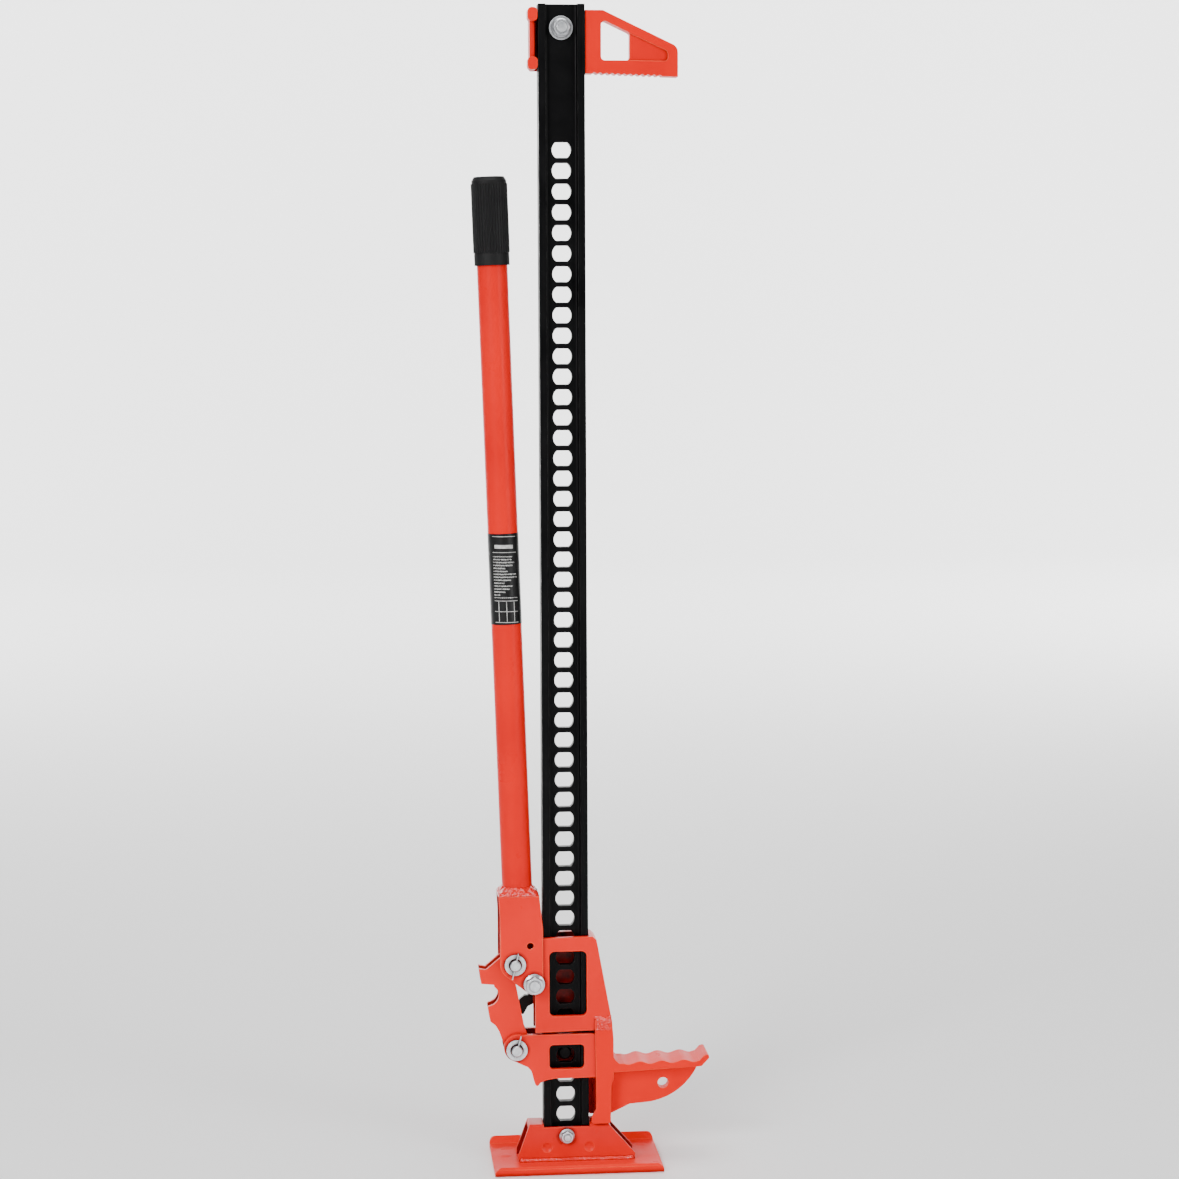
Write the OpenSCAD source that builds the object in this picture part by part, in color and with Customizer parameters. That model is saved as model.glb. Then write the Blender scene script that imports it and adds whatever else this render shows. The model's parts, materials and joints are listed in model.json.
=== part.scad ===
// Farm jack with a lifting toe, 48 in tall.
// Right is +X (the toe side), away from the front view is +Y, up is +Z.
// The origin is on the ground, under the axis of the bar. Millimetres.

/* [Bar] */
// Height of the top of the bar above the ground
bar_top = 1220; // [1215:1:1225]
// Height of the foot of the bar above the ground
bar_foot = 6; // [5:0.5:10]
// Width of the bar across its flanges
bar_w = 48; // [47:0.5:48]
// Depth of the flanges, front to back
bar_d = 22; // [20:0.5:22]
// Thickness of each flange
flange_t = 7.5; // [6:0.5:8]
// Thickness of the web between the flanges
web_t = 8; // [6:0.5:8]
// Distance from one pin hole to the next
hole_pitch = 21.25; // [21:0.05:21.3]
// Number of pin holes above the base bolt
hole_count = 49; // [40:1:49]
// Width of a pin hole
hole_w = 20; // [18:0.5:20]
// Height of a pin hole between its flats
hole_h = 16; // [15:0.5:16]
// Height of the base bolt
base_bolt_z = 30.5; // [30:0.1:31]
// Height of the clamp bolt
clamp_bolt_z = 1196; // [1190:1:1198]

/* [Base] */
// Length of the base plate
plate_l = 179; // [170:1:190]
// Left end of the base plate
plate_x0 = -79; // [-82:1:-76]
// Half of the flat width of the base plate
plate_fold = 54; // [50:1:56]
// Thickness of the base plate
plate_t = 4; // [3:0.5:4]
// Length of the turned-up edge at the back
back_lip_l = 11; // [8:0.5:12]
// Length of the turned-up edge at the front
front_lip_l = 9.5; // [8:0.5:12]
// Slope of both turned-up edges
lip_a = 60; // [50:1:75]
// Height of the bracket's top face
bracket_top = 43; // [42:0.5:43]
// Half of the bracket's outer depth
bracket_y = 16; // [15.5:0.5:17]
// Sheet thickness of the bracket
bracket_t = 3.6; // [3:0.2:3.6]

/* [Top clamp] */
// Right end of the clamp jaw
jaw_x = 120.8; // [118:0.2:122]
// Half of the jaw's thickness
jaw_y = 9; // [8:0.5:10]
// Number of teeth under the jaw
tooth_count = 12; // [8:1:12]

/* [Runners] */
// Half of the slot that the bar slides in, front to back
slide_y = 11.6; // [11.5:0.05:11.6]
// Thickness of the runner plates
runner_t = 6; // [5:0.5:6]
// Height of the pivot bolt
pivot_z = 198; // [197:0.5:199]
// Distance of the pivot bolt left of the bar axis
pivot_x = 34.5; // [34:0.1:35]
// Distance of the upper clevis pin left of the pivot bolt
crank_x = 20; // [19.5:0.1:20.5]
// Height of the lower clevis pin
lower_pin_z = 126; // [125.5:0.1:126.5]
// Distance of the lower clevis pin left of the bar axis
lower_pin_x = 53; // [52.6:0.1:53.4]
// Radius of both clevis pins
clevis_r = 5.8; // [5.5:0.1:5.8]
// Radius of the climbing pins
climb_r = 7; // [6.5:0.1:7]

/* [Toe] */
// Half of the toe's width, front to back
toe_y = 21; // [20.5:0.5:22]
// Right end of the toe
toe_x = 152; // [150:1:154]
// Height of the middle of the wavy top face
toe_z = 109.7; // [108:0.1:111]
// Distance from one wave to the next
wave_pitch = 23.5; // [22:0.5:24]
// Half of the height of the waves
wave_h = 1.5; // [1:0.1:2]
// Half of the gusset's thickness
gusset_y = 6; // [5:0.5:7]
// Radius of the hole in the gusset
toe_hole_r = 5.9; // [5:0.1:6]

/* [Handle] */
// Outer radius of the handle tube
tube_r = 16; // [15.5:0.1:16]
// Wall thickness of the handle tube
tube_wall = 2.5; // [2:0.1:3]
// Lean of the handle tube, away from the bar
tube_lean = 1.9; // [1.7:0.05:2]
// Height of the top of the grip
grip_top = 1044.5; // [1040:0.5:1050]
// Length of the grip
grip_l = 91; // [85:1:95]
// Outer radius of the grip over its ribs
grip_r = 19; // [18.5:0.1:19.5]
// Number of ribs round the grip
rib_count = 40; // [30:2:44]

/* [Hidden] */
$fn = 64;

red = [0.93, 0.25, 0.17];
black = [0.06, 0.06, 0.065];
zinc = [0.75, 0.76, 0.78];

// Clearance of a running fit, on the radius
fit = 0.05;
// Air between bodies that pass each other
gap = 0.4;

// Height of the pin hole that is n holes above the base bolt
function hole_z(n) = base_bolt_z + n * hole_pitch;
// Point at angle a on a circle of radius r
function polar(r, a) = r * [cos(a), sin(a)];

// Front-view points (x, z) of the linkage. The upper clevis pin starts one hole above the
// pivot and ends one hole below it, so a full swing lifts the large runner by two holes.
P = [-pivot_x, pivot_z];
A = P + [-crank_x, hole_pitch];
B = [-lower_pin_x, lower_pin_z];
// How far the pitman's lower eye drifts left of its pin halfway through the swing
drift = norm(A - P) - crank_x;
upper_hole = hole_z(6);
lower_hole = hole_z(4);

runner_y = slide_y + runner_t;
socket_y = runner_y + gap + 0.2;
socket_t = 4.5;
socket_out = socket_y + socket_t;
pitman_y = slide_y - gap;
pitman_t = 4.5;
side_x = bar_w / 2 + 0.6;

// Right edge of the runners, and the heights where their plates end
runner_x = 31.2;
small_low = 94;
small_top = 141.7;
large_low = 144;
// how much higher the large runner's lower edge is at its right end
large_rise = 1.3;
large_top = 246.5;
// Top of the post that carries the toe, where it is welded to the large runner
post_top = 157;

// Housing on a runner's back plate that guides a climbing pin and holds its spring
housing_r = 12;
housing_end = 45;
cap_t = 5;
cap_r = 9.5;
stem_r = 4;
// Length of a climbing pin in front of its stem
pin_l = 20;
// How far in front of the bar's web the pins are drawn back
pin_air = 0.4;
// Depth of the cross pins behind the housings
cross_y = housing_end + 17;

// Pivot of the reversing latch, on a boss that stands clear of the handle's far plate
latch_hub = [-22, 178];
latch_seat = socket_out + 3.7;
latch_t = 5;

// Left and right edges of the handle's socket, and its top
socket_x0 = -70.3;
socket_x1 = -24.9;
socket_z = 292.3;
// Foot of the handle tube's axis
tube_foot = [-49.8, 275];

// A front-view outline given depth from y0 to y1
module slab(y0, y1) {
    translate([0, y1, 0])
        rotate([90, 0, 0])
            linear_extrude(height = y1 - y0)
                children();
}

// The same outline as a front plate and a back plate
module plates(inner, thick) {
    slab(-inner - thick, -inner)
        children();
    slab(inner, inner + thick)
        children();
}

// A round rod along Y through the front-view point p
module rod(p, r, y0, y1) {
    translate([p[0], y1, p[1]])
        rotate([90, 0, 0])
            cylinder(r = r, h = y1 - y0);
}

// A disc in an outline
module disc(p, r) {
    translate(p)
        circle(r);
}

// An outline round two discs, with straight sides tangent to both
module belt(p, rp, q, rq) {
    d = q - p;
    a = atan2(d[1], d[0]);
    t = acos((rp - rq) / norm(d));
    disc(p, rp);
    disc(q, rq);
    polygon([
        p + polar(rp, a + t), p + polar(rp, a - t),
        q + polar(rq, a - t), q + polar(rq, a + t)
    ]);
}

// A rectangle from low to high with corners of radius r
module round_rect(low, high, r) {
    translate(low + [r, 0])
        square(high - low - [2 * r, 0]);
    translate(low + [0, r])
        square(high - low - [0, 2 * r]);
    for (x = [low[0] + r, high[0] - r])
        for (z = [low[1] + r, high[1] - r])
            disc([x, z], r);
}

// What rounding leaves over in a corner at the origin that points down and left
module spandrel(r) {
    difference() {
        translate([-1, -1])
            square(r + 1);
        disc([r, r], r);
    }
}

// A hexagon along Y with chamfered corners on the side that faces away from y_seat
module hexagon(p, across, y_seat, y_end) {
    tall = abs(y_end - y_seat);
    point_r = across / 2 / cos(30);
    translate([p[0], y_seat, p[1]])
        rotate([y_end < y_seat ? 90 : -90, 0, 0])
            intersection() {
                rotate([0, 0, 30])
                    cylinder(r = point_r, h = tall, $fn = 6);
                union() {
                    cylinder(r = point_r + 1, h = tall - 1.5);
                    translate([0, 0, tall - 1.5])
                        cylinder(r1 = point_r + 0.3, r2 = across / 2 - 0.3, h = 1.5);
                }
            }
}

// A bolt that enters from the back, with a flanged hexagon head
module back_bolt(p, r, y_tip, y_seat, flange_r, across) {
    rod(p, r, y_tip + 1, y_seat);
    translate([p[0], y_tip + 1, p[1]])
        rotate([90, 0, 0])
            cylinder(r1 = r, r2 = r - 0.9, h = 1);
    rod(p, flange_r, y_seat, y_seat + 1.8);
    hexagon(p, across, y_seat + 1.8, y_seat + 1.8 + across * 0.42);
}

// A flanged nut at the front of the part
module front_nut(p, r, y_seat, flange_r, across) {
    difference() {
        union() {
            translate([p[0], y_seat, p[1]])
                rotate([90, 0, 0]) {
                    cylinder(r = flange_r, h = 1.6);
                    translate([0, 0, 1.6])
                        cylinder(r1 = flange_r, r2 = across / 2, h = 1.6);
                }
            hexagon(p, across, y_seat - 1.6, y_seat - 1.6 - across * 0.5);
        }
        rod(p, r, y_seat - across - 2, y_seat + 1);
    }
}

// ---- Standard: bar, base and top clamp ----

module bar_section() {
    for (s = [-1, 1])
        translate([s * (bar_w - flange_t) / 2, 0])
            square([flange_t, bar_d], center = true);
    square([bar_w - flange_t, web_t], center = true);
    for (m = [0, 1])
        for (n = [0, 1])
            mirror([m, 0])
                mirror([0, n])
                    translate([flange_t - bar_w / 2, web_t / 2])
                        difference() {
                            translate([-0.5, -0.5])
                                square(3);
                            disc([2.5, 2.5], 2.5);
                        }
}

module pin_hole_outline() {
    intersection() {
        circle(d = hole_w);
        square([hole_w + 2, hole_h], center = true);
    }
}

module standard_bar() {
    color(black)
        difference() {
            translate([0, 0, bar_foot])
                linear_extrude(height = bar_top - bar_foot)
                    bar_section();
            for (n = [1 : hole_count])
                translate([0, 0, hole_z(n)])
                    slab(-bar_d, bar_d)
                        pin_hole_outline();
            rod([0, base_bolt_z], 4.2, -bar_d, bar_d);
            rod([0, clamp_bolt_z], 6.2, -bar_d, bar_d);
        }
}

// The base plate's turned-up edge at the back, with rounded ends
module turned_up_edge(length) {
    corner_r = 8;
    top = length * sin(lip_a) + plate_t * cos(lip_a);
    difference() {
        translate([plate_x0, plate_fold, 0])
            rotate([lip_a, 0, 0])
                cube([plate_l, length, plate_t]);
        slab(plate_fold - 5, plate_fold + 12) {
            translate([plate_x0, top])
                mirror([0, 1])
                    spandrel(corner_r);
            translate([plate_x0 + plate_l, top])
                rotate(180)
                    spandrel(corner_r);
        }
    }
}

module base_plate() {
    dome_r = 6.5;
    dome_h = 0.8;
    ball_r = (dome_r * dome_r + dome_h * dome_h) / (2 * dome_h);
    color(red) {
        translate([plate_x0, -plate_fold, 0])
            cube([plate_l, 2 * plate_fold, plate_t]);
        turned_up_edge(back_lip_l);
        mirror([0, 1, 0])
            turned_up_edge(front_lip_l);
        // pressed marks
        for (p = [[-61, 34], [-64, 7], [84.5, 34]])
            intersection() {
                translate([p[0], p[1], plate_t + dome_h - ball_r])
                    sphere(ball_r);
                translate([p[0], p[1], plate_t - 1])
                    cylinder(r = dome_r + 1, h = 3);
            }
    }
}

// A channel with its open side down, both ends cut off at a slant, round the foot of the bar

module base_bracket() {
    inner = bracket_y - bracket_t;
    bend = 4;
    notch_z = bracket_top - 3;
    color(red)
        difference() {
            slab(-bracket_y, bracket_y)
                polygon([
                    [-52, plate_t], [73, plate_t], [73, 10], [44, bracket_top],
                    [-40, bracket_top], [-52, 10]
                ]);
            translate([-100, -inner, plate_t - 1])
                cube([250, 2 * inner, bracket_top - bracket_t - plate_t + 1]);
            for (m = [0, 1])
                mirror([0, m, 0])
                    translate([-100, bracket_y, bracket_top])
                        rotate([90, 0, 90])
                            linear_extrude(height = 250)
                                rotate(180)
                                    spandrel(bend);
            translate([-side_x, -inner, plate_t])
                cube([2 * side_x, 2 * inner, bracket_top]);
            translate([-side_x, -bracket_y - 1, notch_z])
                cube([2 * side_x, 2 * bracket_y + 2, bracket_top]);
            rod([0, base_bolt_z], 4.2, -bracket_y - 1, bracket_y + 1);
            // two dished marks in the front wall
            for (x = [-21, 24])
                translate([x, -bracket_y - 6.6, 18.5])
                    sphere(8.6);
        }
}

// Fillet welds along the bracket's front and back feet
module bracket_welds() {
    leg = 5;
    color(red)
        for (m = [0, 1])
            mirror([0, m, 0])
                translate([-51, bracket_y, plate_t])
                    rotate([90, 0, 90])
                        linear_extrude(height = 123)
                            polygon([[0, 0], [leg, 0], [0, leg]]);
}

module base_bolt() {
    color(zinc)
        back_bolt([0, base_bolt_z], 4, -bracket_y - 9.5, bracket_y, 8.3, 12);
}

module base_nut() {
    color(zinc)
        front_nut([0, base_bolt_z], 4, -bracket_y, 8, 12);
}

// Front-view outline of the clamp jaw, with the notches between its teeth
module jaw_outline() {
    top = 1214;
    under = 1149.7;
    fall = 3.2;
    first_tooth = 34;
    tooth_pitch = 6.2;
    nose_r = 9;
    nose_c = [jaw_x - nose_r, 1171.5];
    difference() {
        union() {
            polygon([
                [side_x, under], [jaw_x, under - fall], [jaw_x, nose_c[1]], nose_c,
                nose_c + polar(nose_r, 64.7), [43, top], [side_x, top]
            ]);
            disc(nose_c, nose_r);
        }
        for (i = [0 : tooth_count - 1]) {
            x = first_tooth + i * tooth_pitch;
            disc([x, under - 1 - fall * (x - side_x) / (jaw_x - side_x)], 2.2);
        }
    }
}

// The window beside the bar, which a rope or chain passes through
module window_outline() {
    r = 4;
    corners = [[45, 1167], [67, 1167], [67, 1188.6], [45, 1199]];
    for (c = corners)
        disc(c, r);
    polygon([
        [45 - r, 1167], [45, 1167 - r], [67, 1167 - r], [67 + r, 1167], [67 + r, 1188.6],
        [67 + 1.7, 1192.2], [45 + 1.7, 1202.6], [45 - r, 1199]
    ]);
}

// The shallow pocket in each face of the jaw, between its rims
module pocket_outline() {
    end = [106.5, 1166.5];
    polygon([
        [66, 1163.2], end + polar(4, 267), end, end + polar(4, 0),
        [110.5, 1170], end + [2.6, 6.6], [66, 1193]
    ]);
    disc(end, 4);
}

module top_clamp() {
    back_in = bar_d / 2 + gap;
    back_out = 17.5;
    lug_x = 34.7;
    band_x = 32.5;
    lug_low = 1153.3;
    lug_high = 1216.5;
    block = 13;
    color(red)
        difference() {
            union() {
                slab(-jaw_y, jaw_y)
                    jaw_outline();
                translate([side_x, -jaw_y, lug_low])
                    cube([15, jaw_y + back_out, 1213 - lug_low]);
                slab(back_in, back_out)
                    round_rect([-band_x, lug_low], [38, 1213], 3);
                slab(-bar_d / 2, bar_d / 4) {
                    round_rect([-lug_x, lug_low], [-side_x, lug_low + block], 4);
                    round_rect([-lug_x, lug_high - block - 1], [-side_x, lug_high], 4);
                }
                translate([-band_x, -bar_d / 4, lug_low + 6])
                    cube([5, back_out, lug_high - lug_low - 12]);
                rod([0, clamp_bolt_z], 10, web_t / 2, back_in + 1);
            }
            slab(-jaw_y - 1, back_out + 1)
                window_outline();
            slab(-jaw_y - 1, -jaw_y + 3.5)
                pocket_outline();
            slab(jaw_y - 3.5, jaw_y + 1)
                pocket_outline();
            rod([0, clamp_bolt_z], 6.2, -1, back_out + 1);
        }
}

module clamp_bolt() {
    color(zinc)
        back_bolt([0, clamp_bolt_z], 6, -web_t / 2 - 13, 17.5, 11, 17);
}

module clamp_washer() {
    seat = -web_t / 2;
    color(zinc)
        difference() {
            rod([0, clamp_bolt_z], 12.2, seat - 1.8, seat);
            rod([0, clamp_bolt_z], 6.2, seat - 3, seat + 1);
        }
}

module clamp_nut() {
    color(zinc)
        translate([0, 0, clamp_bolt_z])
            rotate([0, 30, 0])
                front_nut([0, 0], 6, -web_t / 2 - 1.8, 9.8, 16);
}

// ---- Runners ----

module pin_housing(z) {
    rod([0, z], housing_r, runner_y - 1, housing_end);
}

module pin_housing_bore(z) {
    rod([0, z], climb_r + fit, 0, housing_end + 1);
    rod([0, z], cap_r, housing_end - cap_t, housing_end + 1);
}

// A pin that pops into the bar's holes, drawn back clear of the web
module climbing_pin(z) {
    tip = web_t / 2 + pin_air;
    shoulder = tip + pin_l;
    chamfer = 1.5;
    rod([0, z], climb_r, tip + chamfer, shoulder);
    translate([0, tip, z])
        rotate([-90, 0, 0])
            cylinder(r1 = climb_r - chamfer, r2 = climb_r, h = chamfer);
    difference() {
        rod([0, z], stem_r, shoulder, cross_y + 5);
        cross_pin(z);
    }
}

module cross_pin(z) {
    color(zinc)
        translate([0, cross_y, z])
            rotate([0, 90, 0])
                cylinder(r = 1.5, h = 20, center = true);
}

module spring_cap(z) {
    color(zinc)
        difference() {
            rod([0, z], cap_r, housing_end - cap_t, housing_end);
            rod([0, z], stem_r + fit, housing_end - cap_t - 1, housing_end + 1);
        }
}

// Points of a ring of the spring's wire, square to the coil
function wire_ring(a, rise, coil_r, wire_r, sides) = [
    for (k = [0 : sides - 1])
        let (q = polar(wire_r, 360 * k / sides))
            [(coil_r + q[0]) * cos(a), rise + q[1], (coil_r + q[0]) * sin(a)]
];

// Compression spring round the stem, between the pin's shoulder and the cap
module pin_spring(z) {
    wire_r = 0.7;
    coil_r = 5.6;
    turns = 6;
    steps = 14;
    sides = 6;
    low = web_t / 2 + pin_air + pin_l + wire_r;
    high = housing_end - cap_t - wire_r;
    rings = turns * steps;
    points = [
        for (i = [0 : rings])
            each wire_ring(360 * i / steps, low + (high - low) * i / rings, coil_r, wire_r, sides)
    ];
    walls = [
        for (i = [0 : rings - 1])
            for (k = [0 : sides - 1])
                [
                    i * sides + k, i * sides + (k + 1) % sides,
                    (i + 1) * sides + (k + 1) % sides, (i + 1) * sides + k
                ]
    ];
    first = [[for (k = [0 : sides - 1]) sides - 1 - k]];
    last = [[for (k = [0 : sides - 1]) rings * sides + k]];
    color(zinc)
        translate([0, 0, z])
            polyhedron(points, concat(walls, first, last));
}

// Front-view outline of the small runner's plates
module small_outline() {
    lobe = [-52, 128.1];
    lobe_r = 14.5;
    difference() {
        union() {
            disc(lobe, lobe_r);
            polygon([
                [lobe[0], small_top], lobe, lobe + polar(lobe_r, 240), [-41.3, 107], [-37.5, 102.5],
                [-35.2, 92.7], [-33.4, 87.6], [-29.9, 87.2], [-28.1, 89.8], [-22, 92.4],
                [-11.6, small_low], [runner_x, small_low], [runner_x, small_top - 4],
                [runner_x - 4, small_top]
            ]);
            disc([-31.6, 88.3], 1.9);
            disc([runner_x - 4, small_top - 4], 4);
        }
        disc([-47.5, 98.2], 9.5);
    }
}

module small_runner() {
    edge_t = 3.4;
    color(red)
        difference() {
            union() {
                plates(slide_y, runner_t)
                    small_outline();
                translate([-side_x - edge_t, -slide_y - 1, small_low])
                    cube([edge_t, 2 * slide_y + 2, small_top - small_low - 4]);
                translate([side_x, -slide_y - 1, small_low])
                    cube([runner_x - side_x, 2 * slide_y + 2, small_top - small_low - 4]);
                pin_housing(lower_hole);
            }
            slab(-runner_y - 1, -slide_y + 0.5)
                round_rect([-18.4, 103.8], [18.8, 130.3], 4.5);
            pin_housing_bore(lower_hole);
            rod(B, clevis_r + fit, -runner_y - 1, runner_y + 1);
        }
}

// A headed pin from the back, with a cross hole for its cotter near the front end
module clevis_pin(p, plate_y, tilt) {
    end = -plate_y - 7.5;
    color(zinc)
        difference() {
            union() {
                rod(p, clevis_r, end + 1, plate_y);
                translate([p[0], end + 1, p[1]])
                    rotate([90, 0, 0])
                        cylinder(r1 = clevis_r, r2 = clevis_r - 1, h = 1);
                rod(p, clevis_r + 3, plate_y + 0.1, plate_y + 3.1);
                rod(p, clevis_r, plate_y - 1, plate_y + 1);
            }
            translate([p[0], -plate_y - 4.4, p[1]])
                rotate([0, tilt, 0])
                    cylinder(r = 1.6, h = 30, center = true);
        }
}

module pin_washer(p, plate_y) {
    color(zinc)
        difference() {
            rod(p, 11.15, -plate_y - 2.1, -plate_y - 0.1);
            rod(p, clevis_r + 1.2, -plate_y - 3, -plate_y + 1);
        }
}

// Split pin: two legs through the clevis pin, one behind the other, closed by an eye at the top
module cotter(p, plate_y, tilt, leg_up, leg_down) {
    wire = 0.75;
    color(zinc)
        translate([p[0], -plate_y - 4.4, p[1]])
            rotate([0, tilt, 0]) {
                for (y = [-0.8 * wire, 0.8 * wire])
                    translate([0, y, -leg_down])
                        cylinder(r = wire, h = leg_down + leg_up);
                translate([0, 0, leg_up + 1.2])
                    rotate([0, 90, 0])
                        rotate_extrude()
                            translate([1.6, 0])
                                circle(wire);
            }
}

module lower_clevis_pin() {
    clevis_pin(B, runner_y, 15);
}

module lower_pin_washer() {
    pin_washer(B, runner_y);
}

module lower_cotter() {
    cotter(B, runner_y, 15, 14, 8);
}

module lower_pin_spring() {
    pin_spring(lower_hole);
}

module lower_spring_cap() {
    spring_cap(lower_hole);
}

// Front-view outline of the large runner's plates
module large_outline() {
    difference() {
        union() {
            polygon([
                [-33, large_low], [runner_x, large_low + large_rise], [runner_x, post_top],
                [48.1, post_top], [32.4, 242.6], [28.4, large_top],
                [-25.4, large_top - 1], [-26.5, 214], [-33, 207]
            ]);
            disc(P, 11);
            polygon([P + [-11, 0], P, [-26.5, 214], P + polar(11, 125)]);
        }
        disc(P, 6 + fit);
    }
}

module large_runner() {
    edge_t = 3.2;
    color(red)
        difference() {
            union() {
                plates(slide_y, runner_t)
                    large_outline();
                slab(-slide_y - 1, slide_y + 1)
                    polygon([
                        [side_x, large_low + large_rise], [runner_x, large_low + large_rise],
                        [runner_x, post_top],
                        [48.1, post_top], [32.4, 242.6], [28.4, large_top],
                        [side_x, large_top]
                    ]);
                translate([-side_x - edge_t, -slide_y - 1, large_low])
                    cube([edge_t, 2 * slide_y + 2, large_top - large_low - 3]);
                pin_housing(upper_hole);
                rod(latch_hub, 6, runner_y - 1, latch_seat);
            }
            slab(-runner_y - 1, -slide_y + 0.5)
                round_rect([-18, 161.2], [21.8, 231.2], 5.5);
            pin_housing_bore(upper_hole);
            rod(P, 6 + fit, -runner_y - 1, runner_y + 1);
            rod(latch_hub, 2.6, slide_y + 1, latch_seat + 1);
        }
}

// Height of the toe's wavy top face at x
function wave_z(x) = toe_z + 0.012 * (x - 100) + wave_h * cos(360 * (x - 101.3) / wave_pitch);

// Front-view outline of the lifting toe
module toe_outline() {
    root = 49.8;
    first = 61.5;
    last = 137;
    step = 1.5;
    crest = [for (x = [first : step : last]) [x, wave_z(x)]];
    polygon(concat(
        [[root - 2, 99.8], [root - 2, 117], [root, 116], [52, 112.4], [56, 108.9]],
        crest,
        [
            [142, wave_z(137) + 1.6], [147, 115.6], [150.6, 116.4], [toe_x, 115.2],
            [toe_x + 0.4, 112.6], [144.4, 104], [139.1, 103.4]
        ]
    ));
}

// Front-view outline of the gusset under the toe
module gusset_outline() {
    intersection() {
        union() {
            disc([80.2, 129.5], 67.7);
            translate([40, 50])
                square([42, 60]);
        }
        polygon([[45, 50], [50.6, 52.2], [68.5, 60.8], [88.2, 62.3], [100, 55], [150, 60],
            [150, 104], [45, 102]]);
    }
}

// Front-view outline of the post that carries the toe
module post_outline() {
    foot = bracket_top + 1.3;
    polygon([
        [31, 60], [26.5, 52], [26, foot + 2], [28.2, foot], [44.3, foot], [46.6, foot + 1.6],
        [47.2, 86], [49.8, 92], [49.8, 136], [48.1, post_top], [30, post_top], [31, 92]
    ]);
}

module nose_toe() {
    cheek_y = runner_y + 0.3;
    color(red)
        difference() {
            union() {
                slab(-toe_y, toe_y)
                    post_outline();
                slab(-toe_y, toe_y)
                    toe_outline();
                slab(-gusset_y, gusset_y)
                    gusset_outline();
                // the back cheek reaches further left, past the edge of the bar
                slab(cheek_y, toe_y)
                    polygon([
                        [25, bracket_top + 2], [34, bracket_top + 2], [34, post_top],
                        [25, post_top]
                    ]);
            }
            // room for the small runner and the bar
            translate([0, -cheek_y, 0])
                cube([runner_x + 0.4, 2 * cheek_y, post_top + 0.5]);
            // hollow of the channel
            translate([0, -slide_y, 50])
                cube([39, 2 * slide_y, 100]);
            rod([104.4, 82.8], toe_hole_r, -toe_y, toe_y);
        }
}

// Weld beads that join the post to the front and back of the large runner
module nose_welds() {
    color(red)
        for (m = [0, 1])
            mirror([0, m, 0])
                translate([29.5, runner_y, post_top])
                    rotate([90, 0, 90])
                        linear_extrude(height = 18)
                            polygon([[0, 0], [3.4, 0], [0, 4]]);
}

module pivot_bolt() {
    color(zinc)
        back_bolt(P, 6, -socket_out - 12.5, socket_out, 11, 17);
}

module pivot_nut() {
    color(zinc)
        front_nut(P, 6, -socket_out, 11.15, 17);
}

module upper_pin_spring() {
    pin_spring(upper_hole);
}

module upper_spring_cap() {
    spring_cap(upper_hole);
}

module latch_screw() {
    color(zinc) {
        rod(latch_hub, 2.6, slide_y + 2, latch_seat);
        rod(latch_hub, 3.2, latch_seat, latch_seat + latch_t + 0.3);
        rod(latch_hub, 5.5, latch_seat + latch_t + 0.3, latch_seat + latch_t + 3);
    }
}

// ---- Reversing latch ----

module reversing_latch() {
    low = latch_seat + 0.1;
    pad = latch_hub + polar(23, 212);
    color(black)
        difference() {
            union() {
                slab(low, low + latch_t) {
                    belt(latch_hub, 7, pad, 5);
                    belt(latch_hub, 7, latch_hub + polar(12, 330), 4);
                    polygon([
                        [-47.5, 168.5], [-46.4, 170.4], [-41.6, 174.1], [-39.8, 174.3],
                        [-33.5, 172.2], [-34.4, 164.2], [-38.2, 161.7], [-42.7, 153.6],
                        [-44.2, 153.4], [-44.9, 154.8]
                    ]);
                }
                slab(low, low + latch_t + 3.4)
                    disc(pad, 4.2);
            }
            rod(latch_hub, 3.2 + fit, latch_seat - 1, latch_seat + latch_t + 5);
        }
}

// ---- Handle ----

// Front-view outline of the socket's plates: a box above, rounded about both pins below
module socket_outline() {
    knee_r = A[0] - socket_x0;
    difference() {
        union() {
            belt(A, knee_r, P, 11.5);
            polygon([
                [socket_x0, A[1]], [socket_x0, 270], [socket_x0 - 1.2, socket_z],
                [socket_x1 - 3.7, socket_z], [socket_x1, 257], [socket_x1, 222],
                P + [9.6, 4], P, A
            ]);
        }
        disc(P, 6 + fit);
        disc(A, clevis_r + fit);
        disc([-38.4, 239], 3.6);
    }
}

module handle_socket() {
    bend_t = 3.8;
    color(red) {
        plates(socket_y, socket_t)
            socket_outline();
        slab(-socket_y - 1, socket_y + 1)
            polygon([
                [socket_x1 - bend_t, 250], [socket_x1, 250], [socket_x1, 257],
                [socket_x1 - 3.7, socket_z], [socket_x1 - 3.7 - bend_t, socket_z],
                [socket_x1 - bend_t, 257]
            ]);
    }
}

// The tube's axis leans away from the bar; this puts children on it, height along it from z
module on_tube(z) {
    translate([tube_foot[0], 0, tube_foot[1]])
        rotate([0, -tube_lean, 0])
            translate([0, 0, (z - tube_foot[1]) / cos(tube_lean)])
                children();
}

module socket_weld() {
    rim_z = 300.5;
    color(red)
        difference() {
            hull() {
                translate([socket_x0 - 1.8, -socket_out - 0.3, socket_z])
                    cube([socket_x1 - socket_x0 - 1.6, 2 * socket_out + 0.6, 2]);
                on_tube(rim_z - 1.5)
                    cylinder(r = tube_r + 1.2, h = 1.5, $fn = 32);
            }
            on_tube(tube_foot[1])
                cylinder(r = tube_r, h = 60);
        }
}

module handle_tube() {
    length = grip_top - 6 - tube_foot[1];
    color(red)
        on_tube(tube_foot[1])
            difference() {
                cylinder(r = tube_r, h = length);
                translate([0, 0, -1])
                    cylinder(r = tube_r - tube_wall, h = length + 2);
            }
}

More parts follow.
